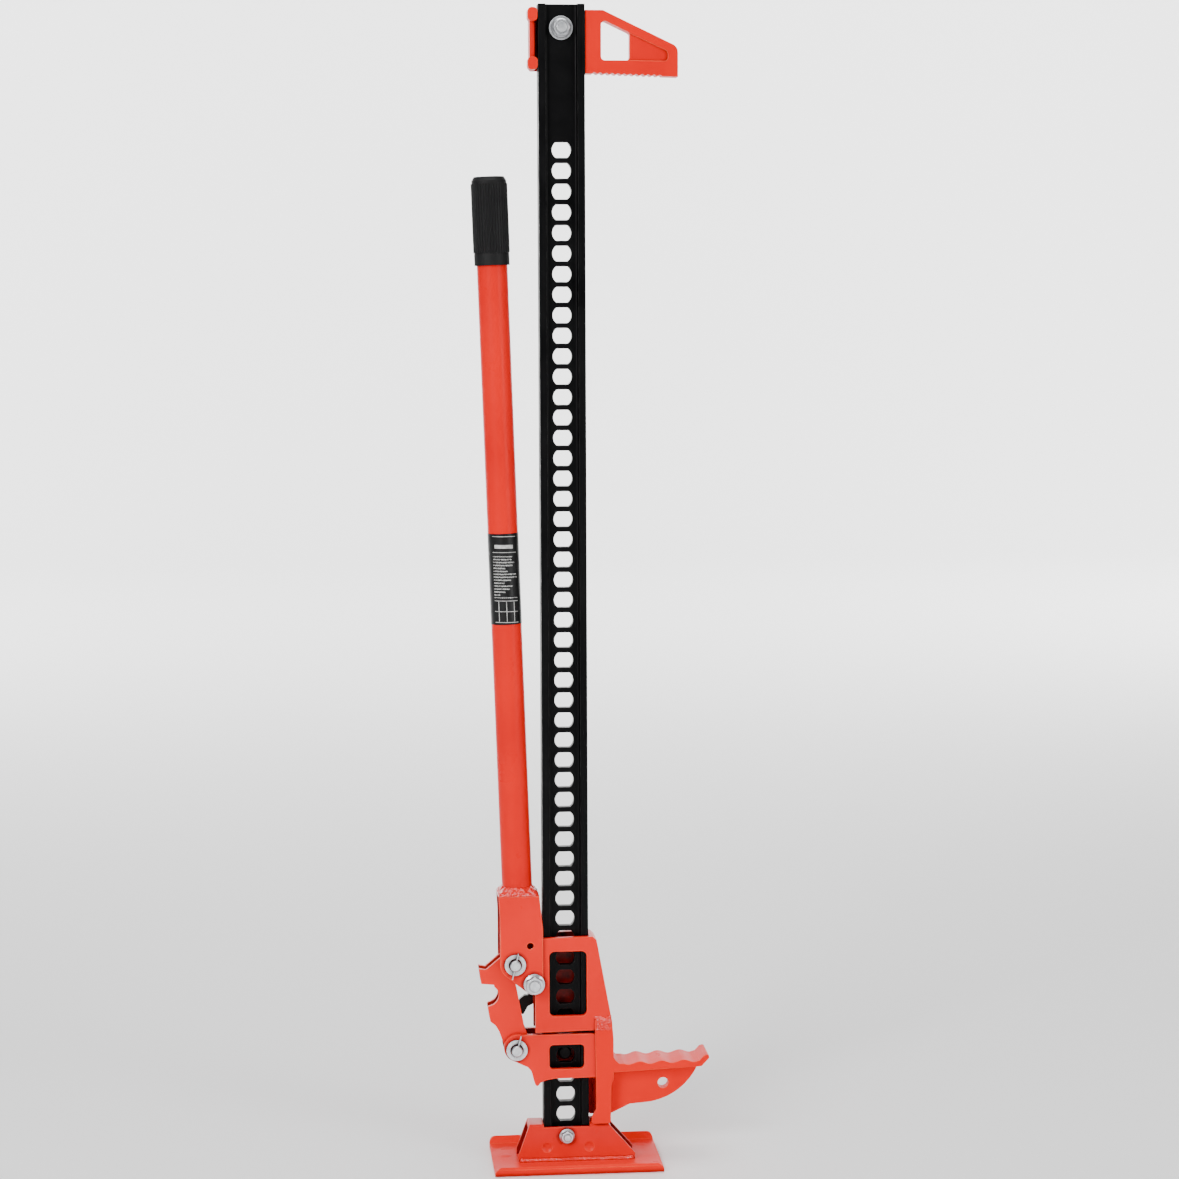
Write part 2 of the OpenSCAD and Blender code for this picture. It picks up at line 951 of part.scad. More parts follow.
// Ribbed sleeve with a closed end and a smooth collar
module handle_grip() {
    collar = 12;
    root_r = grip_r - 0.9;
    body = grip_l - 4;
    ribbed = [
        for (i = [0 : 4 * rib_count - 1])
            polar(i % 4 < 2 ? grip_r : root_r, 90 * i / rib_count)
    ];
    color(black)
        on_tube(grip_top - grip_l)
            difference() {
                union() {
                    cylinder(r = grip_r - 0.7, h = collar);
                    translate([0, 0, collar - 1])
                        cylinder(r = root_r, h = body - collar + 1);
                    translate([0, 0, collar + 1])
                        linear_extrude(height = body - collar - 4)
                            polygon(ribbed);
                    translate([0, 0, body])
                        cylinder(r1 = root_r, r2 = root_r - 2.5, h = 4);
                }
                translate([0, 0, -1])
                    cylinder(r = tube_r, h = grip_l - 5);
            }
}

module handle_label() {
    color(black)
        on_tube(580)
            difference() {
                cylinder(r = tube_r + 0.25, h = 95.5);
                translate([0, 0, -1])
                    cylinder(r = tube_r, h = 98);
            }
}

module upper_clevis_pin() {
    clevis_pin(A, socket_out, 13);
}

module upper_pin_washer() {
    pin_washer(A, socket_out);
}

module upper_cotter() {
    cotter(A, socket_out, 13, 10.5, 15);
}

// ---- Pitman ----

// Front-view outline of the pitman's plates, with its nose and the round notch below it
module pitman_outline() {
    eye_r = 11;
    difference() {
        union() {
            disc(A, eye_r);
            belt(B, 12.2, B + [drift, 0], 10.4);
            polygon([
                A + polar(eye_r, 75), [-69.9, 224.3], [-85, 211.8], [-92.3, 213.3],
                [-90, 197], [-76.5, 195.6], [-74, 180], [-83.1, 171.4], [-80.6, 156],
                [-74.9, 151.4], [-71.3, 144.9], [-66, 130.3], B, B + [drift + 6, 6],
                [-44.3, 148.7], [-53.7, 197.2], A + [eye_r, 0]
            ]);
        }
        disc([-83, 184.2], 11.5);
        polygon([[-95, 195.6], [-95, 172.8], [-83, 172.8], [-83, 195.6]]);
    }
}

module pitman() {
    wall = 4;
    color(red)
        difference() {
            union() {
                plates(pitman_y - pitman_t, pitman_t)
                    pitman_outline();
                // the web that joins both plates, along the edge that faces the bar
                slab(-pitman_y + 1, pitman_y - 1)
                    polygon([
                        [-44.7, 151], [-52.8, 193], [-52.8 - wall, 193], [-44.7 - wall, 151]
                    ]);
            }
            rod(A, clevis_r + fit, -20, 20);
            slab(-20, 20) {
                belt(B, clevis_r + fit, B + [0.35 * drift, 0], clevis_r + 1);
                belt(B + [0.35 * drift, 0], clevis_r + 1, B + [drift, 0], clevis_r + 1.2);
            }
        }
}

// ---- Climbing pins ----

module upper_climbing_pin() {
    color(zinc)
        climbing_pin(upper_hole);
}

module upper_cross_pin() {
    cross_pin(upper_hole);
}

module lower_climbing_pin() {
    color(zinc)
        climbing_pin(lower_hole);
}

module lower_cross_pin() {
    cross_pin(lower_hole);
}

standard_bar();
base_plate();
base_bracket();
bracket_welds();
base_bolt();
base_nut();
top_clamp();
clamp_bolt();
clamp_nut();
clamp_washer();
small_runner();
lower_clevis_pin();
lower_pin_washer();
lower_cotter();
lower_pin_spring();
lower_spring_cap();
large_runner();
nose_toe();
nose_welds();
pivot_bolt();
pivot_nut();
upper_pin_spring();
upper_spring_cap();
latch_screw();
handle_socket();
socket_weld();
handle_tube();
handle_grip();
handle_label();
upper_clevis_pin();
upper_pin_washer();
upper_cotter();
pitman();
upper_climbing_pin();
upper_cross_pin();
lower_climbing_pin();
lower_cross_pin();
reversing_latch();
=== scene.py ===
"""Looks of the farm jack: procedural materials for the CAD nodes, and its welds as meshes."""
import json
import math

import bmesh
import bpy
from mathutils import Matrix, Vector, noise


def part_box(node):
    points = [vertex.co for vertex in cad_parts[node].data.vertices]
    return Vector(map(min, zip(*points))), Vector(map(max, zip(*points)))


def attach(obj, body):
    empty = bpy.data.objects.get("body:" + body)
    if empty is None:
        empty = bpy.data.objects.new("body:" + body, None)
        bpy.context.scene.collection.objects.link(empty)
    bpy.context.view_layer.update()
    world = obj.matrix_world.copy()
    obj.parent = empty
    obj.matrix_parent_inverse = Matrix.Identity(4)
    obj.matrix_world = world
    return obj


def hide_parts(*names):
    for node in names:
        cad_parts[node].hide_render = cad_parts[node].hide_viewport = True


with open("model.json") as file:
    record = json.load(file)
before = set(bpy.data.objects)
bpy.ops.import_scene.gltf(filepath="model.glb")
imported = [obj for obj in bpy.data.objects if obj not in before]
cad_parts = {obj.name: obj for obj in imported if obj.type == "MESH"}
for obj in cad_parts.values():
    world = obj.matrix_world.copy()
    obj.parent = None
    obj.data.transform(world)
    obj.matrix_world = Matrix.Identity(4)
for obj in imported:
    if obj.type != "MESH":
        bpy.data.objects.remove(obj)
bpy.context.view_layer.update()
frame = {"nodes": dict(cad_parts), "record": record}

# ---- Camera, floor and lights ----

CAMERA_AT = (-0.2437, -2.9136, 0.9120)
CAMERA_YAW = 5.324      # degrees, from +Y towards +X
CAMERA_PITCH = 5.806    # degrees, downwards
CAMERA_ROLL = -0.215    # degrees
CAMERA_LENS = 85.35     # millimetres, on a sensor 36 mm wide


def add_camera():
    """The camera at the photograph's viewing angle."""
    data = bpy.data.cameras.new("camera")
    data.lens = CAMERA_LENS
    data.sensor_width = 36.0
    data.clip_end = 60.0
    cam = bpy.data.objects.new("camera", data)
    yaw, pitch = math.radians(CAMERA_YAW), math.radians(CAMERA_PITCH)
    level = math.cos(pitch)
    ahead = Vector((math.sin(yaw) * level, math.cos(yaw) * level, -math.sin(pitch)))
    right = Vector((math.cos(yaw), -math.sin(yaw), 0.0))
    up = right.cross(ahead)
    turn = Matrix((right, up, -ahead)).transposed()
    roll = Matrix.Rotation(math.radians(-CAMERA_ROLL), 3, ahead)
    cam.matrix_world = Matrix.Translation(CAMERA_AT) @ (roll @ turn).to_4x4()
    bpy.context.collection.objects.link(cam)
    bpy.context.scene.camera = cam


def add_floor():
    """A plain pale floor that curves up into a backdrop a long way behind."""
    mesh = bpy.data.meshes.new("floor")
    half, back, bend, tall, steps = 14.0, 7.0, 3.0, 9.0, 24
    line = [(-9.0, 0.0)]
    for i in range(steps + 1):
        a = math.pi / 2 * i / steps
        line.append((back + bend * math.sin(a), bend * (1.0 - math.cos(a))))
    line.append((back + bend, tall))
    verts = [(x, y, z) for y, z in line for x in (-half, half)]
    faces = [(2 * i, 2 * i + 1, 2 * i + 3, 2 * i + 2) for i in range(len(line) - 1)]
    mesh.from_pydata(verts, [], faces)
    mesh.polygons.foreach_set("use_smooth", [True] * len(faces))
    floor = bpy.data.objects.new("floor", mesh)
    bpy.context.collection.objects.link(floor)
    mat = bpy.data.materials.new("floor")
    mat.use_nodes = True
    shader = mat.node_tree.nodes["Principled BSDF"]
    shader.inputs["Base Color"].default_value = (0.93, 0.93, 0.93, 1.0)
    shader.inputs["Roughness"].default_value = 0.9
    shader.inputs["Specular IOR Level"].default_value = 0.1
    mesh.materials.append(mat)


def add_light(name, at, target, size, power):
    """A soft rectangular studio light aimed at a point."""
    data = bpy.data.lights.new(name, "AREA")
    data.shape = "RECTANGLE"
    data.size, data.size_y = size
    data.energy = power
    lamp = bpy.data.objects.new(name, data)
    aim = (Vector(target) - Vector(at)).to_track_quat("-Z", "Y")
    lamp.matrix_world = Matrix.Translation(at) @ aim.to_matrix().to_4x4()
    bpy.context.collection.objects.link(lamp)


def add_studio():
    """Dim surroundings, large soft lights in front and above, and a lit backdrop."""
    world = bpy.data.worlds.new("studio")
    bpy.context.scene.world = world
    world.use_nodes = True
    background = world.node_tree.nodes["Background"]
    background.inputs["Color"].default_value = (1.0, 1.0, 1.0, 1.0)
    background.inputs["Strength"].default_value = 0.30
    add_light("key", (-2.6, -3.6, 2.6), (0.0, 0.0, 0.6), (1.6, 2.4), 200.0)
    add_light("fill", (3.2, -3.0, 1.4), (0.0, 0.0, 0.5), (1.2, 2.4), 70.0)
    add_light("top", (0.0, -0.4, 4.4), (0.0, 0.0, 0.0), (3.0, 3.0), 150.0)
    for side in (-1.0, 1.0):
        add_light("backdrop", (side * 4.5, 4.0, 3.4), (side * 1.0, 9.6, 1.6), (2.0, 3.0), 900.0)


# ---- Materials ----


class Nodes:
    """Short calls for building one material's node tree."""

    def __init__(self, name):
        self.mat = bpy.data.materials.new(name)
        self.mat.use_nodes = True
        self.tree = self.mat.node_tree
        self.shader = self.tree.nodes["Principled BSDF"]
        self.coords = self.tree.nodes.new("ShaderNodeTexCoord").outputs["Object"]

    def node(self, kind, **inputs):
        made = self.tree.nodes.new(kind)
        for key, value in inputs.items():
            self.put(made.inputs[key.replace("_", " ")], value)
        return made

    def put(self, socket, value):
        if isinstance(value, bpy.types.NodeSocket):
            self.tree.links.new(value, socket)
        else:
            socket.default_value = value

    def set(self, name, value):
        self.put(self.shader.inputs[name], value)

    def noise(self, scale, detail=3.0, stretch=None):
        where = self.coords
        if stretch:
            where = self.node("ShaderNodeMapping", Vector=where, Scale=stretch).outputs["Vector"]
        made = self.node("ShaderNodeTexNoise", Vector=where, Scale=scale, Detail=detail)
        return made.outputs["Fac"]

    def ramp(self, fac, *stops):
        made = self.node("ShaderNodeValToRGB", Fac=fac)
        made.color_ramp.elements[0].position, made.color_ramp.elements[0].color = stops[0]
        made.color_ramp.elements[1].position, made.color_ramp.elements[1].color = stops[-1]
        for place, color in stops[1:-1]:
            made.color_ramp.elements.new(place).color = color
        return made.outputs["Color"]

    def grey(self, fac, low, high, start=0.0, end=1.0):
        """fac from start to end mapped to low to high."""
        made = self.node("ShaderNodeMapRange", Value=fac)
        made.inputs["From Min"].default_value = start
        made.inputs["From Max"].default_value = end
        made.inputs["To Min"].default_value = low
        made.inputs["To Max"].default_value = high
        return made.outputs["Result"]

    def math(self, operation, a, b=0.0):
        made = self.tree.nodes.new("ShaderNodeMath")
        made.operation = operation
        self.put(made.inputs[0], a)
        self.put(made.inputs[1], b)
        return made.outputs["Value"]

    def mix(self, fac, a, b, blend="MIX"):
        made = self.tree.nodes.new("ShaderNodeMix")
        made.data_type = "RGBA"
        made.blend_type = blend
        self.put(made.inputs[0], fac)
        self.put(made.inputs[6], a)
        self.put(made.inputs[7], b)
        return made.outputs[2]

    def eased(self, radius):
        """The normal with edges rounded off by radius, and a mask that is 1 along them."""
        bevel = self.tree.nodes.new("ShaderNodeBevel")
        bevel.samples = 6
        bevel.inputs["Radius"].default_value = radius
        geometry = self.tree.nodes.new("ShaderNodeNewGeometry")
        dot = self.tree.nodes.new("ShaderNodeVectorMath")
        dot.operation = "DOT_PRODUCT"
        self.put(dot.inputs[0], bevel.outputs["Normal"])
        self.put(dot.inputs[1], geometry.outputs["Normal"])
        return bevel.outputs["Normal"], self.grey(dot.outputs["Value"], 0.0, 1.0, 0.998, 0.93)

    def painted_crevice_shade(self, distance, start, end):
        """1 deep in a crevice narrower than distance, 0 in the open: the mask for painted shade."""
        hidden = self.node("ShaderNodeAmbientOcclusion", Distance=distance)
        hidden.samples = 8
        return self.grey(hidden.outputs["AO"], 1.0, 0.0, start, end)

    def between(self, value, low, high):
        """1 where value lies from low to high, else 0."""
        above = self.math("GREATER_THAN", value, low)
        return self.math("MULTIPLY", above, self.math("LESS_THAN", value, high))

    def facing(self, axis, start, end):
        """0 where the surface turns away from the axis X, Y or Z, 1 where it faces along it."""
        geometry = self.tree.nodes.new("ShaderNodeNewGeometry")
        parts = self.node("ShaderNodeSeparateXYZ", Vector=geometry.outputs["Normal"])
        return self.grey(self.math("ABSOLUTE", parts.outputs[axis]), 0.0, 1.0, start, end)

    def near(self, point, inner, outer):
        """1 within inner of a line through point along Y, fading to 0 at outer."""
        offset = self.node("ShaderNodeVectorMath", Vector=self.coords)
        offset.operation = "MULTIPLY"
        offset.inputs[1].default_value = (1.0, 0.0, 1.0)
        gap = self.tree.nodes.new("ShaderNodeVectorMath")
        gap.operation = "DISTANCE"
        self.put(gap.inputs[0], offset.outputs["Vector"])
        gap.inputs[1].default_value = (point[0], 0.0, point[2])
        return self.grey(gap.outputs["Value"], 1.0, 0.0, inner, outer)

    def along(self, axis):
        """The object coordinate along X, Y or Z."""
        made = self.node("ShaderNodeSeparateXYZ", Vector=self.coords)
        return made.outputs[axis]

    def inside(self, depth):
        """1 on faces that look along Y and lie less than depth from Y = 0, as inside a plate."""
        close = self.math("LESS_THAN", self.math("ABSOLUTE", self.along("Y")), depth)
        return self.math("MULTIPLY", close, self.facing("Y", 0.5, 0.9))

    def bump(self, height, distance, strength=1.0, normal=None):
        made = self.node("ShaderNodeBump", Height=height, Distance=distance, Strength=strength)
        if normal:
            self.put(made.inputs["Normal"], normal)
        return made.outputs["Normal"]


def srgb(r, g, b):
    """A colour given in 0 to 255 display values, as linear light."""
    def linear(v):
        v /= 255.0
        return v / 12.92 if v <= 0.04045 else ((v + 0.055) / 1.055) ** 2.4
    return (linear(r), linear(g), linear(b), 1.0)


# Dark red for painted shade in recesses and on inner faces, and for dirt round the bolts.
RED_SHADE_AND_DIRT = srgb(74, 14, 12)
# Lighter red for painted highlights along edges.
RED_EDGE_HIGHLIGHT = srgb(255, 92, 60)


def middle(node):
    """The centre of a CAD node's box."""
    low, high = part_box(node)
    return [(a + b) / 2 for a, b in zip(low, high)]


SOFT_TONES = (srgb(216, 16, 8), srgb(231, 22, 10), srgb(238, 30, 13))
DEEP_TONES = (srgb(204, 12, 6), srgb(220, 15, 7), srgb(232, 20, 8))


def red_paint(name, tones=SOFT_TONES, painted_shade_depth=None, around=(), edge_r=0.0012, spec=0.15):
    """Thick orange-red enamel with colour drift, orange peel and dust nibs, painted highlights
    along its edges and painted shade in its recesses.

    The argument after tones is the depth from Y = 0 up to which inner faces get painted shade.
    around lists a node with an inner and an outer radius for each ring round a bolt that is
    darkened as dirt and painted shade.
    """
    n = Nodes(name)
    normal, edge = n.eased(edge_r)
    deep, mean, light = tones
    color = n.ramp(n.noise(9.0, 4.0), (0.25, deep), (0.5, mean), (0.8, light))
    nibs = n.grey(n.noise(700.0, 1.0), 0.0, 1.0, 0.70, 0.78)
    color = n.mix(n.math("MULTIPLY", nibs, 0.35), color, deep)
    # Painted highlight: lighter red along the edges, broken up with noise.
    edge_highlight_and_wear = n.math("MULTIPLY", edge, n.grey(n.noise(55.0, 5.0), 0.35, 0.95, 0.35, 0.6))
    color = n.mix(edge_highlight_and_wear, color, RED_EDGE_HIGHLIGHT)
    # Painted shade: darker red deep in recesses and where parts meet.
    color = n.mix(n.math("MULTIPLY", n.painted_crevice_shade(0.008, 0.3, 0.7), 0.6), color, RED_SHADE_AND_DIRT)
    rough = n.grey(n.noise(38.0, 5.0), 0.26, 0.42, 0.3, 0.7)
    # Rings round the bolts, darkened and roughened as dirt and painted shade.
    for node, inner, outer in around:
        ring = n.near(middle(node), inner, outer)
        dirt_and_shade = n.math("MULTIPLY", ring, n.grey(n.noise(120.0, 5.0), 0.25, 0.95, 0.35, 0.65))
        color = n.mix(dirt_and_shade, color, RED_SHADE_AND_DIRT)
        rough = n.math("ADD", rough, n.math("MULTIPLY", dirt_and_shade, 0.2))
    # Painted shade on the inner faces of the plates.
    if painted_shade_depth:
        shade = n.grey(n.noise(70.0, 4.0), 0.55, 1.0, 0.3, 0.7)
        color = n.mix(n.math("MULTIPLY", n.inside(painted_shade_depth), shade), color, RED_SHADE_AND_DIRT)
    n.set("Base Color", color)
    n.set("Roughness", rough)
    n.set("Specular IOR Level", spec)
    fine = n.bump(n.noise(420.0, 2.0), 0.0002, 0.35, normal)
    n.set("Normal", n.bump(n.noise(60.0, 2.0), 0.0004, 0.35, fine))
    return n.mat


def flat_black(name, value=8, rough=(0.32, 0.5), spec=0.2, worn=0.0):
    """Black coating; worn is how far its edges go grey, as painted highlight mixed with wear."""
    n = Nodes(name)
    normal, edge = n.eased(0.0006)
    low, high = srgb(value, value, value + 1), srgb(value + 8, value + 8, value + 9)
    color = n.ramp(n.noise(14.0, 4.0), (0.35, low), (0.7, high))
    # Grey along the edges: painted highlight mixed with wear.
    edge_highlight_and_wear = n.math("MULTIPLY", edge, n.grey(n.noise(90.0, 5.0), 0.0, worn, 0.35, 0.65))
    n.set("Base Color", n.mix(edge_highlight_and_wear, color, srgb(120, 118, 116)))
    n.set("Roughness", n.grey(n.noise(30.0, 5.0), rough[0], rough[1], 0.3, 0.7))
    n.set("Specular IOR Level", spec)
    n.set("Normal", n.bump(n.noise(500.0, 2.0), 0.00015, 0.3, normal))
    return n.mat


def zinc(name, ring_pitch=0.0):
    """Bright zinc plate with painted shade on its sides and in its recesses and painted highlights
    on its edges; ring_pitch adds turns along Y.
    """
    n = Nodes(name)
    normal, edge = n.eased(0.0005)
    color = n.ramp(n.noise(160.0, 4.0), (0.3, srgb(196, 199, 204)), (0.7, srgb(240, 241, 244)))
    # Painted shade: darker grey on the sides that don't face along Y.
    color = n.mix(n.facing("Y", 0.45, 0.9), srgb(104, 106, 112), color)
    # Painted shade: nearly black in recesses.
    color = n.mix(n.painted_crevice_shade(0.006, 0.4, 0.85), color, srgb(44, 42, 44))
    # Painted highlight: near-white along the edges.
    color = n.mix(n.math("MULTIPLY", edge, 0.6), color, srgb(250, 250, 252))
    n.set("Base Color", color)
    n.set("Metallic", 0.8)
    n.set("Roughness", n.grey(n.noise(220.0, 5.0), 0.24, 0.42, 0.3, 0.7))
    normal = n.bump(n.noise(900.0, 2.0), 0.0001, 0.4, normal)
    if ring_pitch:
        turns = n.math("SINE", n.math("MULTIPLY", n.along("Y"), 2.0 * math.pi / ring_pitch))
        normal = n.bump(turns, 0.0004, 1.0, normal)
    n.set("Normal", normal)
    return n.mat


def weld_enamel(name):
    """The same enamel pooled thick and glossy over a rough weld."""
    n = Nodes(name)
    normal, _ = n.eased(0.0004)
    deep, mean, light = DEEP_TONES
    color = n.ramp(n.noise(260.0, 4.0), (0.3, deep), (0.55, mean), (0.8, light))
    # Painted shade: darker red in the weld's recesses.
    color = n.mix(n.math("MULTIPLY", n.painted_crevice_shade(0.003, 0.3, 0.8), 0.7), color, RED_SHADE_AND_DIRT)
    n.set("Base Color", color)
    n.set("Roughness", n.grey(n.noise(300.0, 4.0), 0.04, 0.12, 0.3, 0.7))
    n.set("Specular IOR Level", 0.6)
    n.set("Normal", n.bump(n.noise(420.0, 2.0), 0.0006, 0.8, normal))
    return n.mat


TUBE_LEAN = math.radians(1.9)   # the handle tube's lean from upright, towards -X
TUBE_FOOT_X = -0.0407           # where the tube's axis would meet the ground
LABEL_THICK = 0.00025
LABEL_HALF = 0.012              # half the width of the printed area
ROW_PITCH = 0.0031              # from one line of print to the next
BOX_PITCH = 0.008               # from one upright rule of the empty boxes to the next


def label_film(name):
    """Black label with a frame, a few illegible lines of pale print and some empty boxes."""
    n = Nodes(name)
    z = n.along("Z")
    to_axis = n.math("ADD", n.math("MULTIPLY", z, math.tan(TUBE_LEAN)), -TUBE_FOOT_X)
    across = n.math("ADD", n.along("X"), to_axis)
    front = n.math("LESS_THAN", n.along("Y"), 0.0)
    print_area = n.math("MULTIPLY", n.between(across, -LABEL_HALF, LABEL_HALF), front)
    row = n.math("DIVIDE", z, ROW_PITCH)
    ends = n.tree.nodes.new("ShaderNodeTexWhiteNoise")
    ends.noise_dimensions = "1D"
    n.put(ends.inputs["W"], n.math("FLOOR", row))
    row_end = n.grey(ends.outputs["Value"], -0.009, 0.018)
    inked = n.math("LESS_THAN", n.math("FRACT", row), 0.42)
    rows = n.math("MULTIPLY", n.between(z, 0.608, 0.652), inked)
    rows = n.math("MULTIPLY", rows, n.math("LESS_THAN", across, row_end))
    rows = n.math("MULTIPLY", rows, n.math("GREATER_THAN", n.noise(1500.0, 1.0), 0.46))
    bars = n.math("MULTIPLY", n.between(z, 0.6600, 0.6638), n.between(across, -0.010, 0.009))
    bounce = n.math("PINGPONG", n.math("ADD", across, LABEL_HALF), BOX_PITCH)
    to_rule = n.math("ABSOLUTE", n.math("SUBTRACT", bounce, BOX_PITCH / 2))
    boxes = n.math("MULTIPLY", n.between(z, 0.5835, 0.6045), n.math("LESS_THAN", to_rule, 0.0003))
    lines = n.between(z, 0.5822, 0.5828)
    for height in (0.5936, 0.6048, 0.6556, 0.6722):
        lines = n.math("MAXIMUM", lines, n.between(z, height, height + 0.0006))
    marks = lines
    for part in (rows, bars, boxes):
        marks = n.math("MAXIMUM", marks, part)
    marks = n.math("MULTIPLY", marks, print_area)
    worn = n.grey(n.noise(240.0, 4.0), 0.55, 0.95, 0.35, 0.6)
    base = n.ramp(n.noise(30.0, 4.0), (0.35, srgb(9, 9, 10)), (0.7, srgb(18, 18, 19)))
    n.set("Base Color", n.mix(n.math("MULTIPLY", marks, worn), base, srgb(206, 206, 204)))
    n.set("Roughness", n.grey(n.noise(60.0, 4.0), 0.3, 0.42, 0.3, 0.7))
    n.set("Specular IOR Level", 0.25)
    n.set("Normal", n.bump(n.noise(500.0, 2.0), 0.0001, 0.3))
    return n.mat


def dress(material, *names):
    """Give CAD nodes this material in place of the one they have."""
    for name in names:
        obj = frame["nodes"][name]
        obj.data.materials.clear()
        obj.data.materials.append(material)


def in_slots(*slots):
    """The CAD nodes whose finish is one of the record's slots."""
    return [s["node"] for s in frame["record"]["subparts"] if s["material_slot"] in slots]


PIVOT_RINGS = [("pivot_bolt", 0.0110, 0.0150), ("upper_clevis_pin", 0.0112, 0.0150),
               ("lower_clevis_pin", 0.0112, 0.0150)]
dress(red_paint("red_paint", DEEP_TONES, spec=0.08), *in_slots("red_paint"))
dress(red_paint("red_paint_plate", spec=0.03), "base_plate")
dress(red_paint("red_paint_toe", spec=0.04), "nose_toe")
dress(red_paint("red_paint_runner", SOFT_TONES, 0.0118, PIVOT_RINGS, 0.0016),
      "small_runner", "large_runner")
dress(red_paint("red_paint_socket", SOFT_TONES, 0.0184, PIVOT_RINGS[:2], 0.0020), "handle_socket")
dress(red_paint("red_paint_pitman", SOFT_TONES, 0.0069, PIVOT_RINGS[1:]), "pitman")
dress(red_paint("red_paint_bracket", DEEP_TONES, 0.0127, [("base_bolt", 0.0085, 0.0120)]),
      "base_bracket")
dress(red_paint("red_paint_clamp", DEEP_TONES, None, [("clamp_bolt", 0.0122, 0.0150)], spec=0.05),
      "top_clamp")
dress(zinc("zinc_plate"), *in_slots("zinc"))
dress(zinc("zinc_thread", 0.0015), "base_bolt", "clamp_bolt", "pivot_bolt")
dress(flat_black("pin_steel", 4, (0.3, 0.5), 0.15, 0.2), *in_slots("pin_steel"))
dress(flat_black("spring_steel", 40, (0.3, 0.5), 0.4, 0.5), *in_slots("spring_steel"))
dress(flat_black("bar_black", 1, (0.34, 0.5), 0.10, 0.25), "standard_bar")
dress(flat_black("latch_black", 10, worn=0.4), "reversing_latch")
dress(flat_black("grip_rubber", 12, (0.5, 0.7), 0.2), "handle_grip")
dress(label_film("label_film"), "handle_label")

# ---- Welds: closed meshes with lumps and ripples in place of the plain CAD fillets ----

WELD = weld_enamel("red_weld")


def lump(x, y, z, size, seed=0.0):
    """Smooth random value from about -1 to 1 that changes over size."""
    return noise.noise(Vector((x / size + seed, y / size, z / size)))


def piece(name, verts, faces, body, stands_for):
    """A smooth mesh that rides on a body and stands for a CAD weld."""
    mesh = bpy.data.meshes.new(name)
    mesh.from_pydata(verts, [], faces)
    work = bmesh.new()
    work.from_mesh(mesh)
    bmesh.ops.recalc_face_normals(work, faces=work.faces)
    work.to_mesh(mesh)
    work.free()
    mesh.polygons.foreach_set("use_smooth", [True] * len(mesh.polygons))
    mesh.materials.append(WELD)
    obj = bpy.data.objects.new(name, mesh)
    bpy.context.collection.objects.link(obj)
    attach(obj, body)
    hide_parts(stands_for)


def rings_to_faces(rows, columns, first=0, closed=False):
    """Quads between rings of points; closed joins the last ring to the first."""
    faces = []
    for r in range(rows if closed else rows - 1):
        below, above = first + r * columns, first + (r + 1) % rows * columns
        for c in range(columns):
            d = (c + 1) % columns
            faces.append((below + c, below + d, above + d, above + c))
    return faces


def add_bracket_welds():
    """Two rippled beads along the foot of the bracket, with a blob at each end."""
    low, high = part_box("bracket_welds")
    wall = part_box("base_bracket")[1][1]
    columns, step, ripple = 14, 0.0005, 0.0021
    rows = int((high[0] - low[0]) / step) + 1
    verts, faces = [], []
    for side in (-1.0, 1.0):
        first = len(verts)
        for r in range(rows):
            x = low[0] + (high[0] - low[0]) * r / (rows - 1)
            from_end = min(x - low[0], high[0] - x)
            cap = math.sqrt(max(0.0, 1.0 - (1.0 - min(1.0, from_end / 0.0028)) ** 2))
            blob = 1.0 + 0.22 * math.exp(-(from_end - 0.003) ** 2 / 0.00001)
            ridge = abs(math.sin(math.pi * x / ripple))
            scale = 0.90 + 0.16 * ridge + 0.16 * lump(x, side, 0.0, 0.005)
            radius = max(0.00002, 0.0029 * cap * blob * scale)
            y = side * (wall + 0.0005 + 0.0004 * lump(x, side, 5.0, 0.012))
            z = low[2] + 0.0005 + 0.0003 * lump(x, side, 9.0, 0.009)
            skew = 0.0005 * math.sin(math.pi * x / ripple)
            for c in range(columns):
                a = 2.0 * math.pi * c / columns
                out, rise = side * radius * math.cos(a), radius * math.sin(a)
                verts.append((x + skew * math.cos(a), y + out, z + rise))
        faces += rings_to_faces(rows, columns, first)
        faces.append(tuple(range(first, first + columns)))
        faces.append(tuple(range(len(verts) - columns, len(verts))))
    piece("bracket_weld_beads", verts, faces, "standard", "bracket_welds")


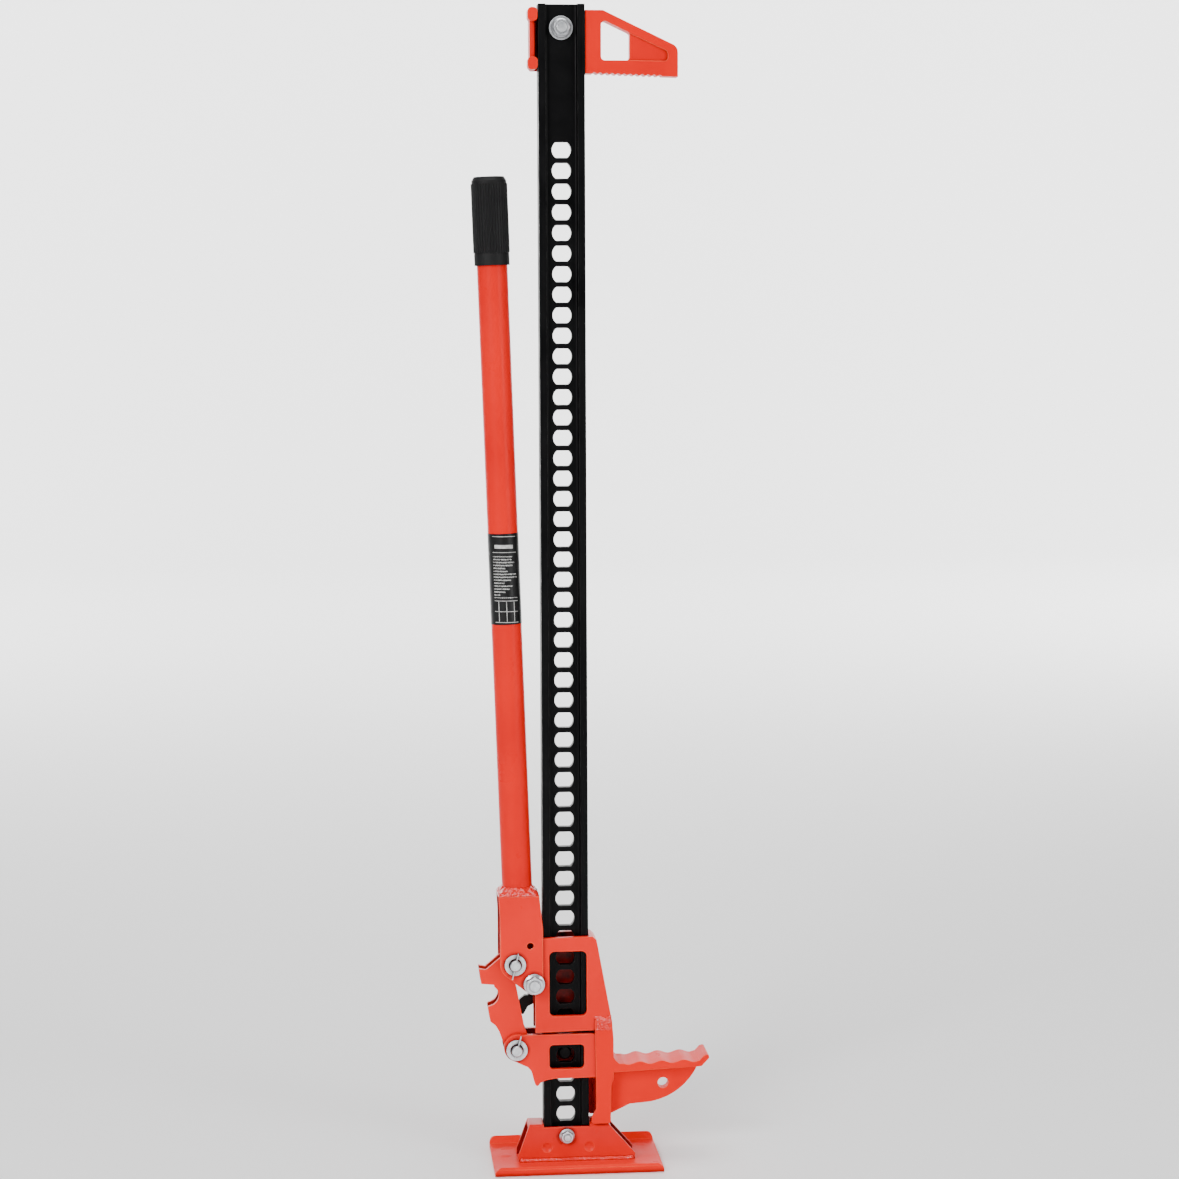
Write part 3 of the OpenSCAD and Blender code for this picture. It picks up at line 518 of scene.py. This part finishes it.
def add_nose_welds():
    """A hammered-looking weld patch over the top of the post, front and back."""
    low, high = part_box("nose_welds")
    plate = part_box("large_runner")[0][1]
    ledge, left, right = low[2], low[0] - 0.0006, high[0] + 0.0004
    bottom, top = ledge - 0.0125, high[2]
    columns, rows = 80, 70
    verts, faces = [], []
    for side in (-1.0, 1.0):
        first = len(verts)
        for back in (False, True):
            for r in range(rows):
                for c in range(columns):
                    u, v = c / (columns - 1), r / (rows - 1)
                    z = bottom + (top - bottom) * v
                    on_plate = min(1.0, max(0.0, (z - ledge) / 0.0008))
                    start = left + 0.0015 * (1.0 - on_plate)
                    x = start + (right - start) * u
                    depth = high[1] - 0.0004 + (abs(plate) - 0.0003 - high[1] + 0.0004) * on_plate
                    rim = min(x - start, right - x, z - bottom, top - z)
                    rim -= 0.0012 * abs(lump(x, side, z, 0.0035, 4.0))
                    swell = 1.0 - (1.0 - min(1.0, max(0.0, rim) / 0.0024)) ** 2
                    height = 0.0008 + on_plate * 0.0030 * (top - z) / (top - ledge)
                    coarse, fine = lump(x, side, z, 0.0030), lump(x, side, z, 0.0018, 7.0)
                    height += 0.0011 * coarse + 0.0008 * abs(fine)
                    out = depth - 0.0006 if back else depth + height * swell
                    verts.append((x, side * out, z))
        size = rows * columns
        for r in range(rows - 1):
            for c in range(columns - 1):
                a = first + r * columns + c
                faces.append((a, a + 1, a + columns + 1, a + columns))
                faces.append((a + size, a + size + columns, a + size + columns + 1, a + size + 1))
        border = [(0, c) for c in range(columns)]
        border += [(r, columns - 1) for r in range(1, rows)]
        border += [(rows - 1, c) for c in range(columns - 2, -1, -1)]
        border += [(r, 0) for r in range(rows - 2, 0, -1)]
        ring = [first + r * columns + c for r, c in border]
        for i, a in enumerate(ring):
            b = ring[(i + 1) % len(ring)]
            faces.append((a, b, b + size, a + size))
    piece("nose_weld_patches", verts, faces, "large_runner", "nose_welds")


def add_socket_weld():
    """The lumpy welded shoulder that closes the socket's box round the tube."""
    low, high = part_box("socket_weld")
    label_low, label_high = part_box("handle_label")
    tube_r = label_high[1] - LABEL_THICK
    lean = math.tan(TUBE_LEAN)
    middle_x = (low[0] + high[0]) / 2
    axis_x = (label_low[0] + label_high[0]) / 2 + lean * (label_low[2] + label_high[2]) / 2
    half_x, half_y = (high[0] - low[0]) / 2, high[1]
    columns, rows = 220, 16
    verts = []
    for r in range(rows + 2):
        t = min(1.0, r / (rows - 1))
        z = low[2] + (high[2] - low[2] - 0.0004) * t
        if r == rows + 1:
            z = low[2]
        center = middle_x + (axis_x - lean * z - middle_x) * t
        for c in range(columns):
            a = 2.0 * math.pi * c / columns
            box_r = (abs(math.cos(a) / half_x) ** 14 + abs(math.sin(a) / half_y) ** 14) ** (-1 / 14)
            if r < rows:
                bulge = t ** 1.25
                radius = box_r + (tube_r + 0.0005 - box_r) * bulge
                x, y = center + radius * math.cos(a), radius * math.sin(a)
                soft = min(1.0, t / 0.15, (1.0 - t) / 0.1 + 0.3)
                coarse, fine = lump(x, y, z, 0.0050), lump(x, y, z, 0.0030, 3.0)
                rough = (0.0012 * coarse + 0.0008 * abs(fine) - 0.0005) * soft
                radius += rough
                x, y = center + radius * math.cos(a), radius * math.sin(a)
                verts.append((x, y, z + rough * 0.5))
            else:
                center = axis_x - lean * z
                verts.append((center + tube_r * math.cos(a), tube_r * math.sin(a), z))
    faces = rings_to_faces(rows + 2, columns, closed=True)
    piece("socket_weld_shoulder", verts, faces, "handle", "socket_weld")


add_bracket_welds()
add_nose_welds()
add_socket_weld()

add_camera()
add_floor()
add_studio()
